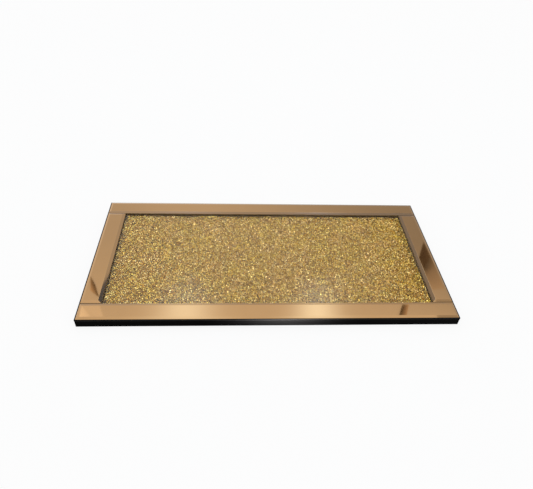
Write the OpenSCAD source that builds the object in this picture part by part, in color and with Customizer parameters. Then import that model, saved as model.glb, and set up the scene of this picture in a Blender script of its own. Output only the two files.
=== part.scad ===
// Vanity tray with a border of bevelled mirror strips and a centre of crushed crystal under clear glass.
// Sizes are in millimetres. The origin is the middle of the underside, +Z is up, +X runs along the
// length and -Y is the front.

/* [Tray] */
// Length along X, over the mirror strips
tray_length = 400; // [280:5:600]
// Depth along Y, over the mirror strips
tray_depth = 200; // [140:5:400]

/* [Mirror strips] */
// Thickness of a mirror strip
mirror_thickness = 3; // [2:0.5:5]
// Width of a mirror strip
strip_width = 22.5; // [18:0.5:40]
// Width of the bevel ground along every edge of a strip
bevel_width = 3.5; // [1:0.25:6]
// Height that the bevel takes off the edge of a strip
bevel_drop = 1.1; // [0.3:0.1:1.5]
// Gap between two strips where they butt together
strip_gap = 0.3; // [0.1:0.1:1]
// Distance that the strips stand out past the rails and the board
mirror_overhang = 0.2; // [0:0.1:1.5]

/* [Clear pane] */
// Thickness of the pane
pane_thickness = 2; // [1.5:0.25:2.5]
// Distance that the pane reaches in under the mirror strips, which hold it down
pane_overlap = 4; // [2:0.5:6]
// Gap round the edge of the pane
pane_clearance = 0.3; // [0.1:0.1:0.6]

/* [Carcass] */
// Thickness of the base board
board_thickness = 4; // [2:0.5:9]
// Thickness of the rails, which carry the mirror strips and wall in the crystals
rail_thickness = 4; // [3.5:0.5:9]
// Thickness of the felt under the board
felt_thickness = 0.6; // [0.3:0.1:3]
// Distance from the edge of the board to the edge of the felt
felt_inset = 1.5; // [0:0.5:15]

/* [Tape] */
// Thickness of the double-sided tape under the strips and the pane
tape_thickness = 0.4; // [0.2:0.1:1]
// Width of the tape under a mirror strip
mirror_tape_width = 12; // [6:1:15]
// Distance from the end of a mirror strip to the end of its tape
mirror_tape_inset = 6; // [1:1:20]
// Distance from the lip of the ledge to the tape under the pane
glazing_setback = 0.5; // [0:0.1:1.5]

/* [Crystal centre] */
// Thickness of the gold foil card under the crystals
foil_thickness = 0.2; // [0.1:0.1:0.5]
// Distance from the rails to the foil card, where the black board shows between the outermost crystals
foil_inset = 4; // [0.5:0.5:10]
// Gap between the rails and the crystals
bed_clearance = 0.3; // [0.1:0.1:1]
// Free height between the tallest crystals and the pane
crystal_headroom = 0.2; // [0.1:0.1:0.8]
// Difference in height between the lowest and the tallest crystals
crystal_relief = 1.2; // [0.2:0.1:1.6]
// Distance between neighbouring peaks of the crystal bed
crystal_pitch = 6; // [4:0.5:12]

/* [Hidden] */
FRONT = -1;
REAR = 1;
LEFT = -1;
RIGHT = 1;

BLACK_PAINT = "#16130f";
ROSE_MIRROR = "#b88c62";
CLEAR_GLASS = [0.86, 0.92, 0.9, 0.25];
GOLD_CRYSTAL = "#ae9058";
GOLD_FOIL = "#a5803e";
BLACK_FELT = "#0d0c0c";
BLACK_TAPE = "#1b1a18";
WHITE_TAPE = "#d8d6d0";

// Crystals: how far a peak strays from its grid place, as a share of the pitch, and the seeds that place it
crystal_stray = 0.3;
height_seed = 11;
stray_x_seed = 23;
stray_y_seed = 37;

// The opening inside the mirror strips
opening_length = tray_length - 2 * strip_width;
opening_depth = tray_depth - 2 * strip_width;
side_strip_length = opening_depth - 2 * strip_gap;

// The board and the rails stand back under the strips, and the rails end flush with the opening
carcass_length = tray_length - 2 * mirror_overhang;
carcass_depth = tray_depth - 2 * mirror_overhang;
rail_width = strip_width - mirror_overhang;

// The pane, its pocket in the rails, and the land that is left on a rail outside the pocket
pane_length = opening_length + 2 * pane_overlap;
pane_depth = opening_depth + 2 * pane_overlap;
pocket_length = pane_length + 2 * pane_clearance;
pocket_depth = pane_depth + 2 * pane_clearance;
land_width = rail_width - pane_overlap - pane_clearance;
glazing_tape_width = pane_overlap - glazing_setback;

// The foil card and the bed of crystals on it, inside the rails
foil_length = opening_length - 2 * foil_inset;
foil_depth = opening_depth - 2 * foil_inset;
bed_length = opening_length - 2 * bed_clearance;
bed_depth = opening_depth - 2 * bed_clearance;

// Heights of the layers, from the underside up
board_z = felt_thickness;
rail_z = board_z + board_thickness;
mirror_tape_z = rail_z + rail_thickness;
mirror_z = mirror_tape_z + tape_thickness;
pane_z = mirror_z - pane_thickness;
ledge_z = pane_z - tape_thickness;
crystal_z = rail_z + foil_thickness;
crystal_height = pane_z - crystal_z - crystal_headroom;

// A flat sheet, centred on Z, with its underside at height z
module sheet(length, depth, thickness, z)
    translate([0, 0, z])
        linear_extrude(thickness)
            square([length, depth], center = true);

// Places its children along the front or rear side, in the middle of a band of the given depth
// whose outer edge lies on the edge of an area of the given overall depth
module along_side(side, overall, band)
    translate([0, side * (overall - band) / 2, 0])
        children();

// The same along the left or right end
module along_end(side, overall, band)
    translate([side * (overall - band) / 2, 0, 0])
        children();

// The pocket that leaves a ledge along the rails for the pane, cut out through their top
module pane_pocket()
    sheet(pocket_length, pocket_depth, rail_thickness, ledge_z);

module long_rail(side)
    difference() {
        along_side(side, carcass_depth, rail_width)
            sheet(carcass_length, rail_width, rail_thickness, rail_z);
        pane_pocket();
    }

// Butts between the two long rails
module short_rail(side)
    difference() {
        along_end(side, carcass_length, rail_width)
            sheet(rail_width, opening_depth, rail_thickness, rail_z);
        pane_pocket();
    }

module long_glazing_tape(side)
    along_side(side, pane_depth, glazing_tape_width)
        sheet(pane_length, glazing_tape_width, tape_thickness, ledge_z);

// Butts between the two long tapes
module short_glazing_tape(side)
    along_end(side, pane_length, glazing_tape_width)
        sheet(glazing_tape_width, pane_depth - 2 * glazing_tape_width, tape_thickness, ledge_z);

module long_mirror_tape(side)
    along_side(side, carcass_depth, land_width)
        sheet(tray_length - 2 * mirror_tape_inset, mirror_tape_width, tape_thickness, mirror_tape_z);

module short_mirror_tape(side)
    along_end(side, carcass_length, land_width)
        sheet(mirror_tape_width, side_strip_length - 2 * mirror_tape_inset, tape_thickness, mirror_tape_z);

// Section across a bevelled strip of the given width, standing on its silvered back
module bevelled_section(width) {
    foot = width / 2;
    flat = foot - bevel_width;
    shoulder = mirror_thickness - bevel_drop;
    polygon([
        [-foot, 0], [foot, 0], [foot, shoulder], [flat, mirror_thickness],
        [-flat, mirror_thickness], [-foot, shoulder]
    ]);
}

// A mirror strip, bevelled along all four edges of its face
module bevelled_strip(length, depth)
    translate([0, 0, mirror_z])
        intersection() {
            rotate([90, 0, 0])
                linear_extrude(depth, center = true)
                    bevelled_section(length);
            rotate([90, 0, 90])
                linear_extrude(length, center = true)
                    bevelled_section(depth);
        }

module long_mirror(side)
    along_side(side, tray_depth, strip_width)
        bevelled_strip(tray_length, strip_width);

// Butts between the two long strips
module short_mirror(side)
    along_end(side, tray_length, strip_width)
        bevelled_strip(strip_width, side_strip_length);

// Bed of crushed crystal: a closed block with a flat foot and a top broken into facets.
// Its peaks stand on a grid, each a little off its place, and the outermost ones stay on the edge.
module broken_bed(length, depth, height, relief, pitch) {
    columns = max(2, round(length / pitch));
    rows = max(2, round(depth / pitch));
    step_x = length / columns;
    step_y = depth / rows;
    count = (columns + 1) * (rows + 1);
    heights = rands(height - relief, height, count, height_seed);
    strays_x = rands(-crystal_stray, crystal_stray, count, stray_x_seed);
    strays_y = rands(-crystal_stray, crystal_stray, count, stray_y_seed);

    function index(i, j) = j * (columns + 1) + i;
    function inside(i, last) = i > 0 && i < last ? 1 : 0;
    function peak(i, j) = [
        (i - columns / 2 + inside(i, columns) * strays_x[index(i, j)]) * step_x,
        (j - rows / 2 + inside(j, rows) * strays_y[index(i, j)]) * step_y,
        heights[index(i, j)]
    ];
    function cell(i, j) =
        let (a = index(i, j), b = index(i + 1, j), c = index(i + 1, j + 1), d = index(i, j + 1))
        (i + j) % 2 == 0 ? [[a, c, b], [a, d, c]] : [[a, d, b], [b, d, c]];

    peaks = [for (j = [0:rows], i = [0:columns]) peak(i, j)];
    foot = [for (y = [-1, 1], x = [-1, 1]) [x * length / 2, y * depth / 2, 0]];
    front_left = count;
    front_right = count + 1;
    rear_left = count + 2;
    rear_right = count + 3;
    top = [for (j = [0:rows - 1], i = [0:columns - 1]) each cell(i, j)];
    front = [front_right, front_left, for (i = [0:columns]) index(i, 0)];
    rear = [rear_left, rear_right, for (i = [columns:-1:0]) index(i, rows)];
    left = [front_left, rear_left, for (j = [rows:-1:0]) index(0, j)];
    right = [rear_right, front_right, for (j = [0:rows]) index(columns, j)];
    underside = [front_left, front_right, rear_right, rear_left];
    polyhedron(concat(peaks, foot), concat(top, [front, rear, left, right, underside]));
}

module felt_base()
    color(BLACK_FELT)
        sheet(carcass_length - 2 * felt_inset, carcass_depth - 2 * felt_inset, felt_thickness, 0);

module base_board()
    color(BLACK_PAINT)
        sheet(carcass_length, carcass_depth, board_thickness, board_z);

module front_rail() color(BLACK_PAINT) long_rail(FRONT);
module rear_rail() color(BLACK_PAINT) long_rail(REAR);
module left_rail() color(BLACK_PAINT) short_rail(LEFT);
module right_rail() color(BLACK_PAINT) short_rail(RIGHT);

module foil_card()
    color(GOLD_FOIL)
        sheet(foil_length, foil_depth, foil_thickness, rail_z);

module crystal_bed()
    color(GOLD_CRYSTAL)
        translate([0, 0, crystal_z])
            broken_bed(bed_length, bed_depth, crystal_height, crystal_relief, crystal_pitch);

module front_glazing_tape() color(BLACK_TAPE) long_glazing_tape(FRONT);
module rear_glazing_tape() color(BLACK_TAPE) long_glazing_tape(REAR);
module left_glazing_tape() color(BLACK_TAPE) short_glazing_tape(LEFT);
module right_glazing_tape() color(BLACK_TAPE) short_glazing_tape(RIGHT);

module clear_pane()
    color(CLEAR_GLASS)
        sheet(pane_length, pane_depth, pane_thickness, pane_z);

module front_mirror_tape() color(WHITE_TAPE) long_mirror_tape(FRONT);
module rear_mirror_tape() color(WHITE_TAPE) long_mirror_tape(REAR);
module left_mirror_tape() color(WHITE_TAPE) short_mirror_tape(LEFT);
module right_mirror_tape() color(WHITE_TAPE) short_mirror_tape(RIGHT);

module front_mirror() color(ROSE_MIRROR) long_mirror(FRONT);
module rear_mirror() color(ROSE_MIRROR) long_mirror(REAR);
module left_mirror() color(ROSE_MIRROR) short_mirror(LEFT);
module right_mirror() color(ROSE_MIRROR) short_mirror(RIGHT);

felt_base();
base_board();
front_rail();
rear_rail();
left_rail();
right_rail();
foil_card();
crystal_bed();
front_glazing_tape();
rear_glazing_tape();
left_glazing_tape();
right_glazing_tape();
clear_pane();
front_mirror_tape();
rear_mirror_tape();
left_mirror_tape();
right_mirror_tape();
front_mirror();
rear_mirror();
left_mirror();
right_mirror();
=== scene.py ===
"""Vanity tray with bevelled mirror strips round a bed of gold crystal, dressed on the CAD frame.

The sections follow the tray as it is put together, from the felt up, and then the studio round it. Lengths
are in metres, +Z is up and -Y is the front.
"""

import math

import bmesh
import bpy
import numpy as np
from mathutils import Matrix, Vector
from mathutils.bvhtree import BVHTree


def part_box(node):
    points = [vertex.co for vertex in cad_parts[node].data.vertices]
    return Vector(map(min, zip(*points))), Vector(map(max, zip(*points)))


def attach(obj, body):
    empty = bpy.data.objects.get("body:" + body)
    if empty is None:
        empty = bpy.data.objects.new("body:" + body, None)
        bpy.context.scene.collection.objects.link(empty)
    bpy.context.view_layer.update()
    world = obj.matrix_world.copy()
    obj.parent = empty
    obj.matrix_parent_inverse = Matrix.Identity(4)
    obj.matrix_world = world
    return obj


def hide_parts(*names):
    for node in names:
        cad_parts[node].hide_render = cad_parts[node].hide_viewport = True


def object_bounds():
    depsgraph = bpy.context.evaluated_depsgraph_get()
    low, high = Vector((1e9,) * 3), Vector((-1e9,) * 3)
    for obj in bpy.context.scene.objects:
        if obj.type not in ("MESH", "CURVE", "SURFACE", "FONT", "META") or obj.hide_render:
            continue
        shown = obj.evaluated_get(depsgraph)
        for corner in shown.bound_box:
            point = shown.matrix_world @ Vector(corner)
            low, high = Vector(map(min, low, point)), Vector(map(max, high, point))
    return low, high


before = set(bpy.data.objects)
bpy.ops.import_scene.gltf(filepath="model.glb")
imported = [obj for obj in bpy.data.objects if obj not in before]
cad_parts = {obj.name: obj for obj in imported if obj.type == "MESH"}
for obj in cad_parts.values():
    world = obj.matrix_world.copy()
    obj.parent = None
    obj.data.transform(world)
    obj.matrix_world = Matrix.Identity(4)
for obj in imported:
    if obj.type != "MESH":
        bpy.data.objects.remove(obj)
cad_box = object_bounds()

# Felt base: a sheet of short-napped black felt under the whole tray, so that it can be slid without a
# scratch. It is die-cut a little smaller than the board and glued on.
MM = 0.001
FELT_EASE = 0.15 * MM
NAP_SHARE = 0.6


def plug(entry, value):
    """Feeds a node's input from a Wire, a number or a tuple. A colour of three numbers is opaque."""
    if isinstance(value, Wire):
        entry.id_data.links.new(value.socket, entry)
    elif entry.type == "RGBA" and len(value) == 3:
        entry.default_value = (*value, 1.0)
    else:
        entry.default_value = value


class Wire:
    """A value on its way from one node to the next. Python's operators on it add Math nodes."""

    def __init__(self, socket):
        self.socket = socket

    def combine(self, operation, first, second):
        node = self.socket.id_data.nodes.new("ShaderNodeMath")
        node.operation = operation
        plug(node.inputs[0], first)
        plug(node.inputs[1], second)
        return Wire(node.outputs[0])

    def __add__(self, other):
        return self.combine("ADD", self, other)

    def __sub__(self, other):
        return self.combine("SUBTRACT", self, other)

    def __rsub__(self, other):
        return self.combine("SUBTRACT", other, self)

    def __mul__(self, other):
        return self.combine("MULTIPLY", self, other)

    def __truediv__(self, other):
        return self.combine("DIVIDE", self, other)

    def __rtruediv__(self, other):
        return self.combine("DIVIDE", other, self)

    def __pow__(self, other):
        return self.combine("POWER", self, other)

    def __rpow__(self, other):
        return self.combine("POWER", other, self)

    __radd__ = __add__
    __rmul__ = __mul__

    def most(self, other):
        return self.combine("MAXIMUM", self, other)

    def least(self, other):
        return self.combine("MINIMUM", self, other)

    def sine(self):
        return self.combine("SINE", self, 0.0)

    def clamped(self):
        return self.most(0.0).least(1.0)


class Nodes:
    """The nodes of a material or of the world."""

    def __init__(self, owner):
        owner.use_nodes = True
        self.tree = owner.node_tree

    def add(self, kind, settings=None, sockets=None, output=0):
        """Adds a node with these settings, such as a ramp's stops, and inputs. Hands back one output."""
        node = self.tree.nodes.new("ShaderNode" + kind)
        for name, value in (settings or {}).items():
            if name == "stops":
                ramp = node.color_ramp.elements
                while len(ramp) < len(value):
                    ramp.new(1.0)
                for stop, (place, colour) in zip(ramp, value):
                    stop.position = place
                    stop.color = (*colour, 1.0)
            else:
                setattr(node, name, value)
        for name, value in (sockets or {}).items():
            plug(node.inputs[name], value)
        return Wire(node.outputs[output])

    def noise(self, scale, detail, roughness=0.5, stretch=(1.0, 1.0, 1.0)):
        """Cloudy noise from 0 to 1 over the tray, with so many lumps to a metre."""
        place = self.add("TexCoord", output="Object")
        place = self.add("Mapping", sockets={"Vector": place, "Scale": stretch})
        sockets = {"Vector": place, "Scale": scale, "Detail": detail, "Roughness": roughness}
        return self.add("TexNoise", sockets=sockets, output="Fac")

    def bump(self, height, depth):
        """Relief of the given depth in metres."""
        return self.add("Bump", sockets={"Height": height, "Distance": depth}, output="Normal")

    def shades(self, value, *stops):
        """A colour that follows a value through stops of (value, colour)."""
        return self.add("ValToRGB", {"stops": stops}, {"Fac": value}, "Color")

    def mottled(self, value, dark, pale, low=0.3, high=0.7):
        """A colour that goes from dark to pale while a noise goes from low to high."""
        return self.shades(value, (low, dark), (high, pale))

    def coat(self, **inputs):
        """Sets the Principled shader's inputs, named with _ for a space."""
        shader = self.tree.nodes["Principled BSDF"]
        for name, value in inputs.items():
            plug(shader.inputs[name.replace("_", " ")], value)

    def surface(self, shader):
        """Makes another shader the material's surface."""
        plug(self.tree.nodes["Material Output"].inputs["Surface"], shader)


def finish_named(name):
    """A new material and its nodes."""
    material = bpy.data.materials.new(name)
    return material, Nodes(material)


def block(low, high):
    """A bmesh box from its lowest to its highest corner."""
    shape = bmesh.new()
    bmesh.ops.create_cube(shape, size=1.0)
    bmesh.ops.scale(shape, vec=high - low, verts=shape.verts)
    bmesh.ops.translate(shape, vec=(low + high) / 2, verts=shape.verts)
    return shape


def ease(shape, edges, width, material=-1):
    """Rounds edges over, as sanding, painting and grinding do. The rounding may get its own material."""
    bmesh.ops.bevel(
        shape, geom=edges, offset=width, offset_type="OFFSET", affect="EDGES",
        segments=2, profile=0.5, material=material,
    )


def dress(mesh, name, slot, *nodes, materials):
    """Puts a mesh in the scene as a piece that stands for these nodes."""
    piece = bpy.data.objects.new(name, mesh)
    bpy.context.scene.collection.objects.link(piece)
    for material in materials:
        mesh.materials.append(material)
    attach(piece, "root")
    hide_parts(*nodes)
    return piece


def piece_of(shape, name, slot, *nodes, materials):
    """Makes a bmesh a piece that stands for these nodes."""
    mesh = bpy.data.meshes.new(name)
    shape.to_mesh(mesh)
    shape.free()
    return dress(mesh, name, slot, *nodes, materials=materials)


felt, wool = finish_named("black_felt")
nap = wool.noise(scale=2600, detail=6, roughness=0.7)
fibres = wool.noise(scale=900, detail=4, roughness=0.65, stretch=(1.0, 0.35, 1.0))
pile = nap * NAP_SHARE + fibres * (1 - NAP_SHARE)
wool.coat(
    Base_Color=wool.mottled(pile, dark=(0.006, 0.0055, 0.0055), pale=(0.026, 0.025, 0.024)),
    Roughness=0.96,
    Sheen_Weight=0.25,
    Normal=wool.bump(pile, depth=0.25 * MM),
)
sheet = block(*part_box("felt_base"))
ease(sheet, sheet.edges[:], FELT_EASE)
piece_of(sheet, "felt_sheet", "black_felt", "felt_base", materials=[felt])

# Base board: thin fibreboard, sawn square, edges just broken with sandpaper, then sprayed satin black.
# It closes the tray below and shows as the lower part of the dark edge.
BOARD_EASE = 0.3 * MM

black_paint, paint = finish_named("satin_black_paint")
peel = paint.noise(scale=700, detail=3)
cloud = paint.noise(scale=45, detail=4)
paint.coat(
    Base_Color=paint.mottled(
        cloud, dark=(0.0007, 0.00065, 0.0006), pale=(0.0015, 0.0014, 0.0013), low=0.35
    ),
    Roughness=0.3 + cloud * 0.14,
    Specular_IOR_Level=0.012,
    Normal=paint.bump(peel, depth=0.02 * MM),
)
board = block(*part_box("base_board"))
ease(board, board.edges[:], BOARD_EASE)
piece_of(board, "painted_board", "black_paint", "base_board", materials=[black_paint])

# Rails: four fibreboard bars glued round the board and sprayed with it. The long ones run full length and
# the side ones butt between them. The pocket for the pane is milled along their inner top edge after the
# spraying, so its ledge is bare.
SIDES = ("front", "rear", "left", "right")
LEVEL_AXES = (Vector((1, 0, 0)), Vector((0, 1, 0)))
RAIL_EASE = 0.25 * MM
POCKET_CLEARANCE = 0.3 * MM
LOOKS_UP = 0.5
PAINTED, BARE = range(2)

pane_low, pane_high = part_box("clear_pane")
pocket_low = pane_low - Vector((POCKET_CLEARANCE, POCKET_CLEARANCE, 0))
pocket_high = pane_high + Vector((POCKET_CLEARANCE, POCKET_CLEARANCE, 0))
ledge_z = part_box("front_glazing_tape")[0].z

bare_board, fibre = finish_named("bare_fibreboard")
flecks = fibre.noise(scale=1400, detail=4, roughness=0.7)
fibre.coat(
    Base_Color=fibre.mottled(flecks, dark=(0.20, 0.122, 0.052), pale=(0.32, 0.20, 0.09)),
    Roughness=0.85,
    Normal=fibre.bump(flecks, depth=0.05 * MM),
)


def in_pocket(point):
    """Whether a point lies over or under the pocket."""
    return pocket_low.x < point.x < pocket_high.x and pocket_low.y < point.y < pocket_high.y


def cut(shape, point, way):
    """Cuts the faces of a shape along a plane through a point, square to a way."""
    everything = shape.verts[:] + shape.edges[:] + shape.faces[:]
    bmesh.ops.bisect_plane(shape, geom=everything, plane_co=point, plane_no=way)


def painted_rail(node):
    """The rail's slab up to its ledge, with the land outside the pocket raised to full height."""
    low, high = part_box(node)
    rail = block(low, Vector((high.x, high.y, ledge_z)))
    for corner in (pocket_low, pocket_high):
        for way in LEVEL_AXES:
            cut(rail, corner, way)
    land = [f for f in rail.faces if f.normal.z > LOOKS_UP and not in_pocket(f.calc_center_median())]
    raised = bmesh.ops.extrude_face_region(rail, geom=land)["geom"]
    bmesh.ops.delete(rail, geom=land, context="FACES")
    tops = [v for v in raised if isinstance(v, bmesh.types.BMVert)]
    bmesh.ops.translate(rail, vec=(0, 0, high.z - ledge_z), verts=tops)
    bmesh.ops.dissolve_limit(rail, angle_limit=0.01, verts=rail.verts[:], edges=rail.edges[:])
    bmesh.ops.recalc_face_normals(rail, faces=rail.faces[:])
    outer = [e for e in rail.edges if e.is_convex]
    ease(rail, outer, RAIL_EASE)
    for side in rail.faces:
        side.material_index = BARE if in_pocket(side.calc_center_median()) else PAINTED
    piece_of(rail, "painted_" + node, "black_paint", node, materials=[black_paint, bare_board])


for side in SIDES:
    painted_rail(side + "_rail")

# Foil card: card faced with metallised gold film, laid on the board inside the rails and set back from
# them. It keeps the gaps between the crystals gold.
gold_film, film = finish_named("gold_foil")
creases = film.noise(scale=160, detail=5, roughness=0.6)
film.coat(
    Base_Color=film.mottled(creases, dark=(0.30, 0.17, 0.035), pale=(0.44, 0.27, 0.07)),
    Roughness=0.34 + creases * 0.2,
    Metallic=0.8,
    Normal=film.bump(creases, depth=0.06 * MM),
)


def refinish(node, material):
    """Gives a solid of the frame that stays in sight a new material."""
    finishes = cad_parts[node].data.materials
    finishes.clear()
    finishes.append(material)


refinish("foil_card", gold_film)

# Crystals: glass with a gold coat, crushed to chips about 1.5 mm across and strewn over the foil until they
# close up, dull dark ones among glossy pale ones. They lie a little thinner along the rails, where the
# black board shows between them.
CHIP_SHAPES = 14
CHIP_CORNERS = 6
CHIP_FACES = 2 * CHIP_CORNERS - 4
CHIP_RADIUS = 0.76 * MM
CHIP_SIZE_SHIFT, CHIP_SIZE_SPREAD = -0.05, 0.22
CHIP_STRETCH = 0.2
CHIP_PITCH = 0.95 * MM
CHIP_STRAY = 0.35
FIRST_CHIP = 0.25
CHIP_SINK = 0.1 * MM
CHIP_RISE = 0.35 * MM
CHIP_TILES = (4, 2)
CHIP_CHART = np.array([(0.1, 0.1), (0.9, 0.1), (0.5, 0.9)])
THIN_MARGIN = 1.5 * MM
LEAST_KEPT = 0.85
PATCH_CONTRAST = 3.2
DULL, GLOSSY = 0.46, 0.24
chance = np.random.default_rng(seed=7)

crystal, shine = finish_named("gold_crystal")
tone = shine.add("Attribute", {"attribute_name": "tone"}, output="Fac")
yellow = shine.shades(
    tone,
    (0.0, (0.40, 0.200, 0.001)),
    (0.5, (0.86, 0.570, 0.085)),
    (1.0, (1.0, 0.815, 0.31)),
)
tawny = shine.shades(
    tone,
    (0.0, (0.40, 0.192, 0.002)),
    (0.5, (0.86, 0.550, 0.125)),
    (1.0, (1.0, 0.79, 0.39)),
)
patch = ((shine.noise(scale=70, detail=1.5) - 0.5) * PATCH_CONTRAST + 0.5).clamped()
gold = shine.add("Mix", {"data_type": "RGBA"}, {"Factor": patch, "A": yellow, "B": tawny}, "Result")
shine.coat(Base_Color=gold, Roughness=DULL - tone * (DULL - GLOSSY), Metallic=1.0)


def chip_shape():
    """Corners and faces of one chip: the hull of a few points spread over a ball."""
    chip = bmesh.new()
    for corner in chance.normal(size=(CHIP_CORNERS, 3)):
        chip.verts.new(corner / np.linalg.norm(corner))
    bmesh.ops.convex_hull(chip, input=chip.verts[:])
    bmesh.ops.recalc_face_normals(chip, faces=chip.faces[:])
    chip.verts.index_update()
    corners = np.array([v.co for v in chip.verts])
    faces = np.array([[v.index for v in f.verts] for f in chip.faces])
    chip.free()
    return corners, faces


def turned(points, turns):
    """The points turned by each of many unit quaternions."""
    w, axis = turns[:, None, :1], turns[:, None, 1:]
    across = np.cross(axis, points[None])
    return points[None] + 2 * (w * across + np.cross(axis, across))


bed_low, bed_high = (np.array(corner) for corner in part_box("crystal_bed"))
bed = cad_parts["crystal_bed"].data
heap = BVHTree.FromPolygons([v.co for v in bed.vertices], [p.vertices for p in bed.polygons])


def heap_height(spot):
    """How high the crystals are heaped at a spot."""
    return heap.ray_cast(Vector((*spot, bed_high[2] + MM)), Vector((0, 0, -1)))[0].z


# The chips start on a grid of staggered rows, stray from it, and a few along the rails are left out.
pitch = np.array([CHIP_PITCH, CHIP_PITCH * math.sqrt(3) / 2])
near, far = bed_low[:2], bed_high[:2]
columns, rows = np.ceil((far - near) / pitch).astype(int)
grid = np.stack(np.meshgrid(np.arange(columns), np.arange(rows)), -1).reshape(-1, 2).astype(float)
grid[:, 0] += (grid[:, 1] % 2) / 2
spots = near + (grid + FIRST_CHIP) * pitch
spots += chance.uniform(-CHIP_STRAY, CHIP_STRAY, spots.shape) * CHIP_PITCH
spots = np.clip(spots, near + CHIP_RADIUS / 2, far - CHIP_RADIUS / 2)
edge_gap = np.minimum(spots - near, far - spots).min(1)
kept_share = LEAST_KEPT + (1 - LEAST_KEPT) * np.clip(edge_gap / THIN_MARGIN, 0, 1)
spots = spots[chance.random(len(spots)) < kept_share]

shapes = [chip_shape() for _ in range(CHIP_SHAPES)]
kinds = chance.integers(0, CHIP_SHAPES, len(spots))
tiles = np.floor((spots - near) / (far - near) * CHIP_TILES).astype(int)
tiles = np.clip(tiles, 0, np.array(CHIP_TILES) - 1) @ np.array([1, CHIP_TILES[0]])


def chips_on(tile):
    """Corners and faces of the chips on one tile of the bed, and for each face the tone of its chip."""
    corners, faces, tones, start = [], [], [], 0
    for kind, (points, sides) in enumerate(shapes):
        here = spots[(tiles == tile) & (kinds == kind)]
        turns = chance.normal(size=(len(here), 4))
        turns /= np.linalg.norm(turns, axis=1, keepdims=True)
        size = CHIP_RADIUS * chance.lognormal(CHIP_SIZE_SHIFT, CHIP_SIZE_SPREAD, (len(here), 1, 1))
        stretch = 1 + chance.uniform(-CHIP_STRETCH, CHIP_STRETCH, (len(here), 1, 3))
        chips = turned(points, turns) * size * stretch

        # Each chip's top comes to the height of the heap, and none is thicker than the bed is there.
        heights = np.array([heap_height(spot) for spot in here])
        top = np.minimum(heights + chance.uniform(-CHIP_SINK, CHIP_RISE, len(here)), bed_high[2])
        tall = np.ptp(chips[..., 2], axis=1)
        chips[..., 2] *= np.minimum(1, (top - bed_low[2]) / tall)[:, None]
        lift = top - chips[..., 2].max(1)
        chips += np.concatenate([here, lift[:, None]], 1)[:, None]

        # A chip that would pass the rails is pushed back.
        for axis in (0, 1):
            chips[..., axis] += np.maximum(bed_low[axis] - chips[..., axis].min(1), 0)[:, None]
            chips[..., axis] -= np.maximum(chips[..., axis].max(1) - bed_high[axis], 0)[:, None]

        first = start + np.arange(len(here)) * len(points)
        corners.append(chips.reshape(-1, 3))
        faces.append((sides[None] + first[:, None, None]).reshape(-1, 3))
        tones.append(np.repeat(chance.random(len(here)), len(sides)))
        start += len(here) * len(points)
    return np.concatenate(corners), np.concatenate(faces), np.concatenate(tones)


def chart(mesh):
    """A map for baking with a cell for each chip, which all of its faces share."""
    chip = np.arange(len(mesh.polygons)) // CHIP_FACES
    across = math.ceil(math.sqrt(len(mesh.polygons) / CHIP_FACES))
    cell = np.stack([chip % across, chip // across], 1)
    layer = mesh.uv_layers.new(name="OFBake")
    layer.data.foreach_set("uv", ((cell[:, None] + CHIP_CHART[None]) / across).astype(np.float32).ravel())


for tile in range(CHIP_TILES[0] * CHIP_TILES[1]):
    corners, faces, tones = chips_on(tile)
    chips = bpy.data.meshes.new(f"crystals_{tile + 1}")
    chips.from_pydata(corners, [], faces)
    chips.attributes.new("tone", "FLOAT", "FACE").data.foreach_set("value", tones.astype(np.float32))
    chart(chips)
    dress(chips, f"crystals_{tile + 1}", "gold_crystal", "crystal_bed", materials=[crystal])

# Glazing tapes: black double-sided foam tape along the ledges of the rails. The pane is pressed down on
# it, and it keeps the chips from creeping out.
black_foam, foam = finish_named("black_foam_tape")
cells = foam.noise(scale=3200, detail=3)
foam.coat(
    Base_Color=foam.mottled(cells, dark=(0.005, 0.0048, 0.0045), pale=(0.014, 0.0135, 0.013)),
    Roughness=0.8,
    Normal=foam.bump(cells, depth=0.08 * MM),
)
for side in SIDES:
    refinish(side + "_glazing_tape", black_foam)

# Clear pane: thin float glass cut larger than the opening, its edges seamed by hand. It lies on the glazing
# tape in the rails' pocket and covers the crystals. It mirrors a little less than common glass.
PANE_EASE = 0.2 * MM

clear_glass, glass = finish_named("clear_float_glass")
glass.coat(
    Base_Color=(0.975, 0.99, 0.985),
    Roughness=0.0,
    IOR=1.37,
    Transmission_Weight=1.0,
)
pane = block(pane_low, pane_high)
ease(pane, pane.edges[:], PANE_EASE)
pane_glass = piece_of(pane, "float_glass_pane", "clear_glass", "clear_pane", materials=[clear_glass])
pane_glass.visible_shadow = False

# Mirror tapes: white double-sided foam tape, cut to length and pressed on the land of each rail. It holds
# the mirror strips down.
white_foam, foam = finish_named("white_foam_tape")
cells = foam.noise(scale=3000, detail=3)
foam.coat(
    Base_Color=foam.mottled(cells, dark=(0.60, 0.585, 0.55), pale=(0.72, 0.70, 0.665)),
    Roughness=0.75,
    Normal=foam.bump(cells, depth=0.08 * MM),
)
for side in SIDES:
    refinish(side + "_mirror_tape", white_foam)

# Mirror strips: rose-gold tinted mirror, cut to strips with a polished bevel on every edge of the face. The
# side strips butt between the front and the rear one. The outer edge is blacked with the rails, up over the
# toe of the bevel, and the edge towards the crystals is left as ground.
BEVEL_WIDTH = 3.5 * MM
BEVEL_DROP = 1.1 * MM
RIDGE_EASE = 0.12 * MM
OUTER_ARRIS = 0.35 * MM
BLACKED_TOE = Vector((1.4, 0.7)) * MM
WEDGE_TURN = -0.5
FACE, INNER_BEVEL, OUTER_EDGE, INNER_EDGE, BACK = range(5)


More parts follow.
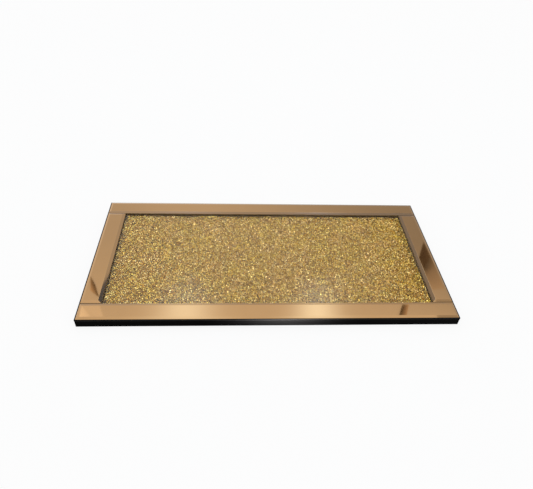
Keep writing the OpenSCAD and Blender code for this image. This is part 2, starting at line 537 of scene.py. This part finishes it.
def tinted_mirror(name, dark, pale):
    """Mirror glass with a faint mist on its tint, under a clear gloss."""
    material, mirror = finish_named(name)
    mist = mirror.noise(scale=60, detail=5, roughness=0.6)
    mirror.coat(
        Base_Color=mirror.mottled(mist, dark, pale),
        Metallic=1.0,
        Roughness=0.03 + mist * 0.03,
        Coat_Weight=1.0,
        Coat_Roughness=0.02,
    )
    return material, mirror


rose_mirror, _ = tinted_mirror("rose_gold_mirror", dark=(0.598, 0.334, 0.126), pale=(0.614, 0.344, 0.132))

# The shading of the inner bevels leans outwards, so that they mirror another part of the room. Their
# tint is a darker copy of the face's tint: painted shade that dims what they mirror.
shade_painted_bevel, wedge = tinted_mirror(
    "inner_bevel_mirror", dark=(0.390, 0.218, 0.083), pale=(0.401, 0.224, 0.087)
)
lean = wedge.add(
    "VectorMath", {"operation": "MULTIPLY"},
    {0: wedge.add("TexCoord", output="Normal"), 1: (WEDGE_TURN, WEDGE_TURN, 1.0)},
)
wedge.coat(Normal=wedge.add("VectorMath", {"operation": "NORMALIZE"}, {0: lean}))

blacked_edge, edge = finish_named("blacked_glass_edge")
grind = edge.noise(scale=2400, detail=4)
edge.coat(
    Base_Color=edge.mottled(grind, dark=(0.002, 0.0018, 0.0016), pale=(0.005, 0.0046, 0.0042)),
    Roughness=0.32 + grind * 0.2,
    Specular_IOR_Level=0.05,
    Normal=edge.bump(grind, depth=0.02 * MM),
)
ground_edge, edge = finish_named("ground_glass_edge")
grind = edge.noise(scale=2400, detail=4)
edge.coat(
    Base_Color=edge.mottled(grind, dark=(0.130, 0.078, 0.028), pale=(0.200, 0.122, 0.048)),
    Roughness=0.4 + grind * 0.2,
    Normal=edge.bump(grind, depth=0.02 * MM),
)
mirror_back, backing = finish_named("mirror_backing_paint")
spray = backing.noise(scale=1500, detail=3)
backing.coat(
    Base_Color=backing.mottled(spray, dark=(0.045, 0.035, 0.028), pale=(0.065, 0.052, 0.042)),
    Roughness=0.6,
    Normal=backing.bump(spray, depth=0.03 * MM),
)


def faces_middle(face):
    """Whether a face looks towards the middle of the tray."""
    return face.normal.xy.dot(face.calc_center_median().xy) < -MM


def edges_between(shape, *finishes):
    """The edges whose faces all have one of these finishes."""
    return [e for e in shape.edges if all(f.material_index in finishes for f in e.link_faces)]


def blacken_toe(strip, low, high):
    """Blacks the toe of the bevel on the sides of a strip that lie at the outside of the tray."""
    for axis, way in enumerate(LEVEL_AXES):
        for end, tray_end, sign in ((low, cad_box[0], -1), (high, cad_box[1], 1)):
            if abs(end[axis] - tray_end[axis]) > MM / 2:
                continue
            toe = end - sign * BLACKED_TOE[axis] * way
            cut(strip, toe, sign * way)
            for side in strip.faces:
                beyond = sign * (side.calc_center_median() - toe)[axis] > 0
                if beyond and side.material_index == FACE:
                    side.material_index = OUTER_EDGE


def bevelled_mirror(node):
    """A strip with its face inset, its rim lowered for the bevel, and its edges and ridges eased."""
    low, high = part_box(node)
    strip = block(low, high)
    face = max(strip.faces, key=lambda f: f.normal.z)
    bmesh.ops.inset_region(strip, faces=[face], thickness=BEVEL_WIDTH, use_even_offset=True)
    flat = set(face.verts)
    rim = [v for v in strip.verts if v.co.z > low.z + BEVEL_DROP and v not in flat]
    bmesh.ops.translate(strip, vec=(0, 0, -BEVEL_DROP), verts=rim)
    strip.normal_update()
    for side in strip.faces:
        inner = faces_middle(side)
        if side.normal.z > LOOKS_UP:
            side.material_index = INNER_BEVEL if inner else FACE
        elif side.normal.z < -LOOKS_UP:
            side.material_index = BACK
        else:
            side.material_index = INNER_EDGE if inner else OUTER_EDGE
    toes = [e for e in strip.edges if {f.material_index for f in e.link_faces} == {FACE, OUTER_EDGE}]
    uprights = edges_between(strip, OUTER_EDGE, INNER_EDGE)
    ease(strip, toes + uprights, OUTER_ARRIS, OUTER_EDGE)
    ease(strip, edges_between(strip, FACE, INNER_BEVEL), RIDGE_EASE, FACE)
    blacken_toe(strip, low, high)
    piece_of(
        strip, "bevelled_" + node, "rose_mirror", node,
        materials=[rose_mirror, shade_painted_bevel, blacked_edge, ground_edge, mirror_back],
    )


for side in SIDES:
    bevelled_mirror(side + "_mirror")

# Studio floor: a plain pale sheet that the tray stands on. The camera, gloss and glass see it nearly white,
# and it keeps the tray's shadow. From below it isn't seen.
FLOOR_HALF = 6.0
FLOOR_DROP = 0.1 * MM
FLOOR_COLOUR = (0.95, 0.95, 0.95)
FLOOR_GLOW = 0.88


def stage_plane(name, corners, material):
    """A flat sheet of the studio, which is no part of the tray."""
    card = bmesh.new()
    card.faces.new([card.verts.new(c) for c in corners])
    mesh = bpy.data.meshes.new(name)
    card.to_mesh(mesh)
    card.free()
    mesh.materials.append(material)
    thing = bpy.data.objects.new(name, mesh)
    bpy.context.scene.collection.objects.link(thing)
    return thing


pale_floor, ground = finish_named("pale_floor")
ground.coat(Base_Color=FLOOR_COLOUR, Roughness=0.9, Specular_IOR_Level=0.0)
paper = Wire(ground.tree.nodes["Principled BSDF"].outputs[0])
bright = ground.add("Emission", sockets={"Color": (1.0, 1.0, 1.0), "Strength": 1.0})
seen = ground.add("LightPath", output="Is Camera Ray")
seen = seen.most(ground.add("LightPath", output="Is Glossy Ray"))
seen = seen.most(ground.add("LightPath", output="Is Transmission Ray"))
from_above = ground.add("MixShader", sockets={"Fac": seen * FLOOR_GLOW, 1: paper, 2: bright})
below = ground.add("NewGeometry", output="Backfacing")
clear = ground.add("BsdfTransparent")
ground.surface(ground.add("MixShader", sockets={"Fac": below, 1: from_above, 2: clear}))
stage_plane(
    "floor",
    [(x * FLOOR_HALF, y * FLOOR_HALF, -FLOOR_DROP) for x, y in ((-1, -1), (1, -1), (1, 1), (-1, 1))],
    pale_floor,
)

# Studio room: plain even light from all round, dimmer in two places ahead of the camera, with soft upright
# panels behind it. A soft glow from the front left reaches only what lies under the pane. A place in the
# room is a direction from the tray, given by its parts to the right and up.
ROOM_LEVEL = 0.88
RIGHT_DIM, RIGHT_DIM_AT, RIGHT_DIM_SPREAD = 0.49, (0.44, 0.60), (0.30, 0.065)
LEFT_DIM, LEFT_DIM_AT, LEFT_DIM_SPREAD = 0.174, (-0.25, 0.60), (0.08, 0.08)
PANEL_SWING, PANEL_RATE, PANEL_FROM, PANEL_FADE = 0.25, 10.0, 0.05, 0.2
GLOW_LEVEL, GLOW_WAY, GLOW_SPREAD = 3.1, (-0.385, -0.555, 0.737), 0.3


def bell(square):
    """A smooth hump from the square of a distance, 1 in its middle."""
    return math.e ** (square * -0.5)


world = bpy.data.worlds.new("soft_room")
bpy.context.scene.world = world
room = Nodes(world)
facing = room.add("TexCoord", output="Generated")
right = room.add("SeparateXYZ", sockets={"Vector": facing}, output="X")
ahead = room.add("SeparateXYZ", sockets={"Vector": facing}, output="Y")
up = room.add("SeparateXYZ", sockets={"Vector": facing}, output="Z")
aside = (right - RIGHT_DIM_AT[0]) / RIGHT_DIM_SPREAD[0]
above = (up - RIGHT_DIM_AT[1]).most(0.0) / RIGHT_DIM_SPREAD[1]
dim_right = RIGHT_DIM * bell(aside ** 2 + above ** 2)
aside = (right - LEFT_DIM_AT[0]) / LEFT_DIM_SPREAD[0]
above = (up - LEFT_DIM_AT[1]) / LEFT_DIM_SPREAD[1]
dim_left = LEFT_DIM * bell(aside ** 2 + above ** 2)
behind = ((PANEL_FROM - ahead) / PANEL_FADE).clamped()
panels = PANEL_SWING * (behind * (right * PANEL_RATE).sine())
towards_glow = room.add("VectorMath", {"operation": "DOT_PRODUCT"}, {0: facing, 1: GLOW_WAY}, "Value")
under_glass = room.add("LightPath", output="Transmission Depth").least(1.0)
glow = GLOW_LEVEL * (under_glass * math.e ** ((towards_glow - 1) / GLOW_SPREAD ** 2))
level = ROOM_LEVEL + glow + panels - (1 - behind) * (dim_right + dim_left)
seen = room.add("LightPath", output="Is Camera Ray")
background = room.tree.nodes["Background"]
plug(background.inputs["Color"], (1.0, 1.0, 1.0))
plug(background.inputs["Strength"], seen + (1 - seen) * level)

# Studio lamps: two long soft lamps over the tray, from front to back, which show as pale bands in the front
# strip and as haze on the pane. A short one on the floor in front gives the black edge its sheen.
LAMP_COLOUR = Vector((0.52, 0.74, 1.0))
LAMP_FRONT, LAMP_REAR, LAMP_HEIGHT = -120, 960, 962
LAMP_REACH = 3
LAMP_END = 0.125
SHEEN_COLOUR = Vector((1.0, 0.95, 0.95))
SHEEN_HEIGHT = -0.05


def soft_lamp(name, front, rear, spread, colour, level):
    """A long level lamp, from front to rear in mm, that fades to its edges. The camera doesn't see it."""
    material, lamp = finish_named(name)
    uv = lamp.add("TexCoord", output="UV")
    across = lamp.add("SeparateXYZ", sockets={"Vector": uv}, output="X")
    along = lamp.add("SeparateXYZ", sockets={"Vector": uv}, output="Y")
    fall = bell(((across - 0.5) * (2 * LAMP_REACH)) ** 2)
    ends = (along.least(1 - along) / LAMP_END).clamped()
    lit = lamp.add("VectorMath", {"operation": "SCALE"}, {0: colour * level, "Scale": fall * ends})
    emission = lamp.add("Emission", sockets={"Color": lit})
    clear = lamp.add("BsdfTransparent")
    lamp.surface(lamp.add("AddShader", sockets={0: emission, 1: clear}))
    front, rear = Vector(front) * MM, Vector(rear) * MM
    side = Vector((LAMP_REACH * spread * MM, 0, 0))
    card = stage_plane(name, [front - side, front + side, rear + side, rear - side], material)
    layer = card.data.uv_layers.new(name="UVMap")
    for loop, at in zip(layer.data, ((0, 0), (1, 0), (1, 1), (0, 1))):
        loop.uv = at
    card.visible_camera = False
    card.visible_shadow = False
    return card


soft_lamp(
    "lamp_left", front=(-179, LAMP_FRONT, LAMP_HEIGHT), rear=(-224, LAMP_REAR, LAMP_HEIGHT),
    spread=70, colour=LAMP_COLOUR, level=0.96,
)
soft_lamp(
    "lamp_right", front=(197, LAMP_FRONT, LAMP_HEIGHT), rear=(275, LAMP_REAR, LAMP_HEIGHT),
    spread=55, colour=LAMP_COLOUR, level=1.2,
)
sheen = soft_lamp(
    "floor_sheen", front=(14, -140, SHEEN_HEIGHT), rear=(14, -99, SHEEN_HEIGHT),
    spread=27, colour=SHEEN_COLOUR, level=22,
)
sheen.visible_diffuse = False

# Studio camera: it stands where the photograph was taken from, as fitted to the edges of the tray, a little
# left of the middle and turned a few degrees about its own axis.
CAMERA_PLACE = Vector((-38.58, -433.43, 402.2)) * MM
CAMERA_YAW = math.radians(4.874)
CAMERA_PITCH = math.radians(40.850)
CAMERA_ROLL = math.radians(3.419)
CAMERA_LENS = 33.40
NEAREST_SEEN = 10 * MM

forward = Vector((
    math.sin(CAMERA_YAW) * math.cos(CAMERA_PITCH),
    math.cos(CAMERA_YAW) * math.cos(CAMERA_PITCH),
    -math.sin(CAMERA_PITCH),
))
level_right = Vector((math.cos(CAMERA_YAW), -math.sin(CAMERA_YAW), 0))
level_up = level_right.cross(forward)
view_right = math.cos(CAMERA_ROLL) * level_right + math.sin(CAMERA_ROLL) * level_up
view_up = math.cos(CAMERA_ROLL) * level_up - math.sin(CAMERA_ROLL) * level_right
camera = bpy.data.objects.new("camera", bpy.data.cameras.new("camera"))
camera.data.lens = CAMERA_LENS
camera.data.sensor_fit = "HORIZONTAL"
camera.data.clip_start = NEAREST_SEEN
turn = Matrix((view_right, view_up, -forward)).transposed()
camera.matrix_world = Matrix.Translation(CAMERA_PLACE) @ turn.to_4x4()
bpy.context.scene.collection.objects.link(camera)
bpy.context.scene.camera = camera
bpy.context.scene.view_settings.view_transform = "Standard"

# Studio cards: plain cards round the set, flags dark and panels pale, which the strips and the pane mirror
# to the camera. Each hangs where a face of the tray mirrors it, and is shaded from corner to corner.
CARD_REACH = 1.3
LEVEL_FACE = Vector((0, 0, 1))
LEFT_INNER_BEVEL = Vector((WEDGE_TURN * BEVEL_DROP, 0, BEVEL_WIDTH)).normalized()
FRONT_END_BEVEL = Vector((0, -BEVEL_DROP, BEVEL_WIDTH)).normalized()
WHITE, TAN, BROWN = (1.0, 1.0, 1.0), (1.03, 0.92, 0.82), (1.05, 0.82, 0.62)


def mirrored_card(name, tint, face, *marks):
    """A card that a face of the tray mirrors to the camera at marks of (x mm, y mm, level of light)."""
    material, dull = finish_named(name)
    shade = dull.add("Attribute", {"attribute_name": "level"}, output="Fac")
    lit = dull.add("VectorMath", {"operation": "SCALE"}, {0: tint, "Scale": shade})
    dull.surface(dull.add("Emission", sockets={"Color": lit}))
    corners = []
    for x, y, _ in marks:
        mark = Vector((x * MM, y * MM, cad_box[1].z))
        corners.append(mark + (mark - CAMERA_PLACE).reflect(face) * CARD_REACH)
    card = stage_plane(name, corners, material)
    levels = card.data.attributes.new("level", "FLOAT", "POINT")
    levels.data.foreach_set("value", [level for _, _, level in marks])
    card.visible_camera = False
    card.visible_diffuse = False
    card.visible_shadow = False


mirrored_card(
    "flag_right", BROWN, LEVEL_FACE,
    (195.4, 22.5, 0.1), (180, -9, 0.1), (181, -27, 0.115), (196.3, -3, 0.14),
)
mirrored_card(
    "flag_right_tail", TAN, LEVEL_FACE,
    (181, -27, 0.12), (181, -39, 0.38), (196.3, -22, 0.34), (196.3, -3, 0.14),
)
mirrored_card(
    "flag_right_fade", TAN, LEVEL_FACE,
    (181, -39, 0.38), (181, -60, 0.57), (196.3, -58, 0.57), (196.3, -22, 0.34),
)
mirrored_card(
    "flag_joint", WHITE, FRONT_END_BEVEL,
    (175, -64, 0.5), (175, -112, 0.5), (200, -112, 0.5), (200, -64, 0.5),
)
mirrored_card(
    "flag_pane", WHITE, LEVEL_FACE,
    (90, -76, 0.78), (176, -76, 0.2), (176, 76, 0.15), (90, 76, 0.52),
)
mirrored_card(
    "flag_front", BROWN, LEVEL_FACE,
    (141.8, -81.5, 0.0), (149, -81.5, 0.6), (142, -97.5, 0.6), (133.8, -97.5, 0.0),
)
mirrored_card(
    "flag_left", BROWN, LEVEL_FACE,
    (-196.3, -38, 0.14), (-192, -59.5, 0.8), (-180.5, -70, 0.14), (-188.3, -51.8, 0.04),
)
mirrored_card(
    "panel_corner", WHITE, LEVEL_FACE,
    (-196.5, -80.5, 1.15), (-195, -97.5, 1.36), (-183, -97.5, 1.12),
)
mirrored_card(
    "panel_left", WHITE, LEVEL_FACE,
    (-196.5, -80.5, 0.98), (-183, -97.5, 0.98), (-170.5, -97.5, 1.04), (-178, -80.5, 0.98),
)
mirrored_card(
    "flag_wedge", WHITE, LEFT_INNER_BEVEL,
    (-184, -82, 0.06), (-174, -82, 0.06), (-174, -22, 0.15), (-184, -62, 0.1),
)
